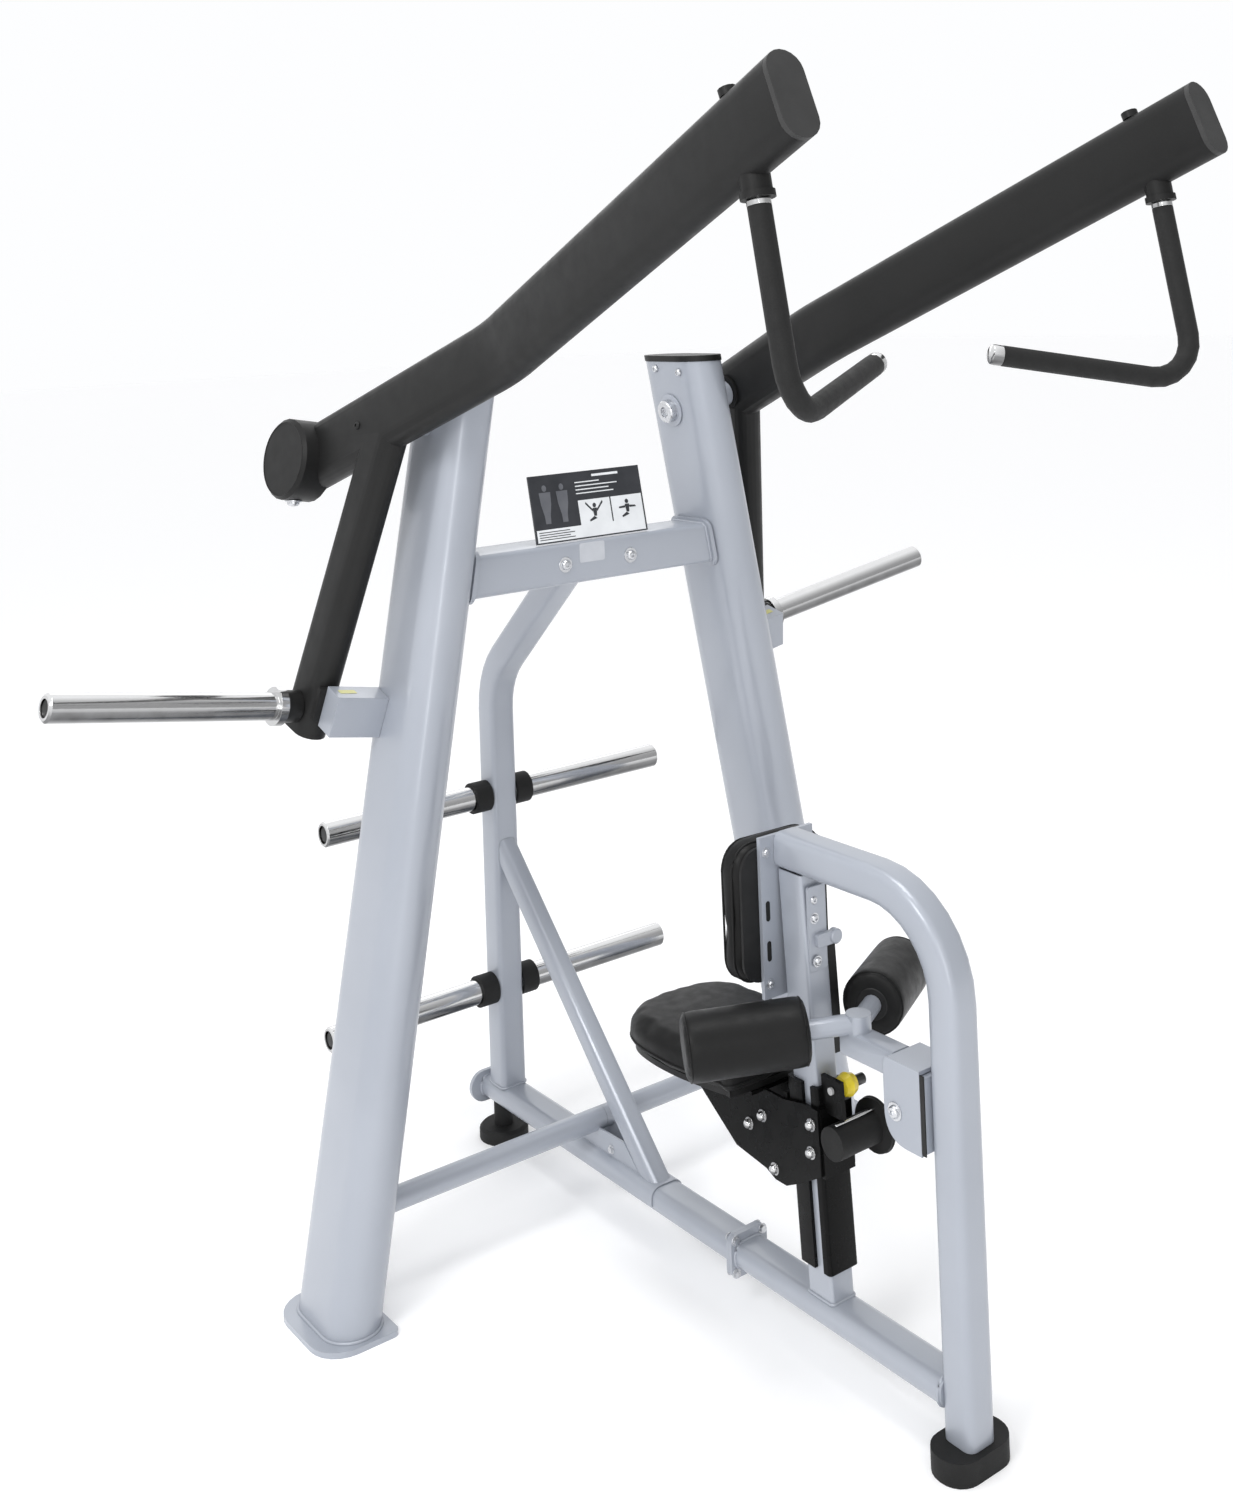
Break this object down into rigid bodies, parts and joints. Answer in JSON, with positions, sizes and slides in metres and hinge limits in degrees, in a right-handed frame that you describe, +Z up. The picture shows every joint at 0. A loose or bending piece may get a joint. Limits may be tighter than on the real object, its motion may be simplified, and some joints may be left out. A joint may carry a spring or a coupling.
{
  "type": "plate-loaded front pulldown machine",
  "caption": "Plate-loaded seated pulldown machine with two independent lever arms, swivel handles, thigh rollers, height-adjustable seat and plate storage horns.",
  "frame": {"origin": "on the floor in the mirror plane, at the middle of the front foot underside", "axes": "+Z up, -Y to the front where the gooseneck post stands, +X to the right when looking to the rear (+Y)"},
  "size_m": [2.0684, 1.622, 2.1048],
  "materials": {
    "frame_paint": "light silver-blue powder coat, satin",
    "arm_paint": "fine-texture black powder coat, matte",
    "chrome": "polished chrome plating",
    "upholstery": "black vinyl upholstery, fine grain, satin",
    "rubber": "black moulded rubber, matte",
    "black_plastic": "black moulded plastic, matte",
    "placard": "printed instruction plate, satin",
    "knob_plastic": "yellow moulded plastic, semi-gloss"
  },
  "bodies": {
    "frame": {"upright_right": "frame_paint", "upright_left": "frame_paint", "upright_cap_right": "black_plastic", "upright_cap_left": "black_plastic", "cross_beam": "frame_paint", "placard": "placard", "rear_post": "frame_paint", "storage_horn_upper_right": "chrome", "storage_horn_upper_left": "chrome", "storage_collar_upper_right": "rubber", "storage_collar_upper_left": "rubber", "storage_horn_lower_right": "chrome", "storage_horn_lower_left": "chrome", "storage_collar_lower_right": "rubber", "storage_collar_lower_left": "rubber", "base_beam_rear": "frame_paint", "base_beam_front": "frame_paint", "front_post": "frame_paint", "front_foot": "rubber", "rear_foot": "rubber", "seat_column": "frame_paint", "pad_plate": "frame_paint", "chest_pad": "upholstery", "brace": "frame_paint", "cross_tube_right": "frame_paint", "cross_tube_left": "frame_paint", "thigh_bracket": "frame_paint", "seat_rail_front": "arm_paint", "seat_rail_rear": "arm_paint", "pivot_shaft_right": "frame_paint", "pivot_shaft_left": "frame_paint", "stop_box_right": "frame_paint", "stop_box_left": "frame_paint", "stop_pad_right": "rubber", "stop_pad_left": "rubber"},
    "roller_right": {"thigh_roller_right": "upholstery"},
    "roller_left": {"thigh_roller_left": "upholstery"},
    "seat": {"seat_pad": "upholstery", "seat_frame": "arm_paint", "seat_grip": "rubber"},
    "knob": {"seat_knob": "knob_plastic"},
    "arm_right": {"main_arm_right": "arm_paint", "arm_hub_right": "arm_paint", "arm_end_cap_right": "black_plastic", "counterweight_right": "arm_paint", "loading_horn_right": "chrome", "swivel_block_right": "arm_paint"},
    "arm_left": {"main_arm_left": "arm_paint", "arm_hub_left": "arm_paint", "arm_end_cap_left": "black_plastic", "counterweight_left": "arm_paint", "loading_horn_left": "chrome", "swivel_block_left": "arm_paint"},
    "handle_right": {"handle_bar_right": "chrome", "handle_grip_right": "rubber"},
    "handle_left": {"handle_bar_left": "chrome", "handle_grip_left": "rubber"}
  },
  "joints": [
    {"name": "arm_right_pivot", "type": "hinge", "parent": "frame", "child": "arm_right", "pos_m": [0.41987, 0.961, 1.58199], "axis": [0.9836, 0, 0.1805], "range_deg": [0, 40]},
    {"name": "arm_left_pivot", "type": "hinge", "parent": "frame", "child": "arm_left", "pos_m": [-0.41987, 0.961, 1.58199], "axis": [0.9836, 0, -0.1805], "range_deg": [0, 40]},
    {"name": "handle_right_swivel", "type": "hinge", "parent": "arm_right", "child": "handle_right", "pos_m": [0.43715, -0.11912, 1.93685], "axis": [0, 0.1822, 0.9833], "range_deg": [-35, 35]},
    {"name": "handle_left_swivel", "type": "hinge", "parent": "arm_left", "child": "handle_left", "pos_m": [-0.43715, -0.11912, 1.93685], "axis": [0, 0.1822, 0.9833], "range_deg": [-35, 35]},
    {"name": "seat_slide", "type": "slide", "parent": "frame", "child": "seat", "axis": [0, 0.0599, 0.9982], "range_m": [-0.14, 0.03]},
    {"name": "knob_pull", "type": "slide", "parent": "seat", "child": "knob", "axis": [1, 0, 0], "range_m": [0, 0.012], "stiffness_N_per_m": 600, "springref_m": -0.004},
    {"name": "roller_right_spin", "type": "hinge", "parent": "frame", "child": "roller_right", "pos_m": [0, 0.211, 0.594], "axis": [0.8556, 0.5141, -0.061], "continuous": true},
    {"name": "roller_left_spin", "type": "hinge", "parent": "frame", "child": "roller_left", "pos_m": [0, 0.211, 0.594], "axis": [-0.8556, 0.5141, -0.061], "continuous": true}
  ]
}
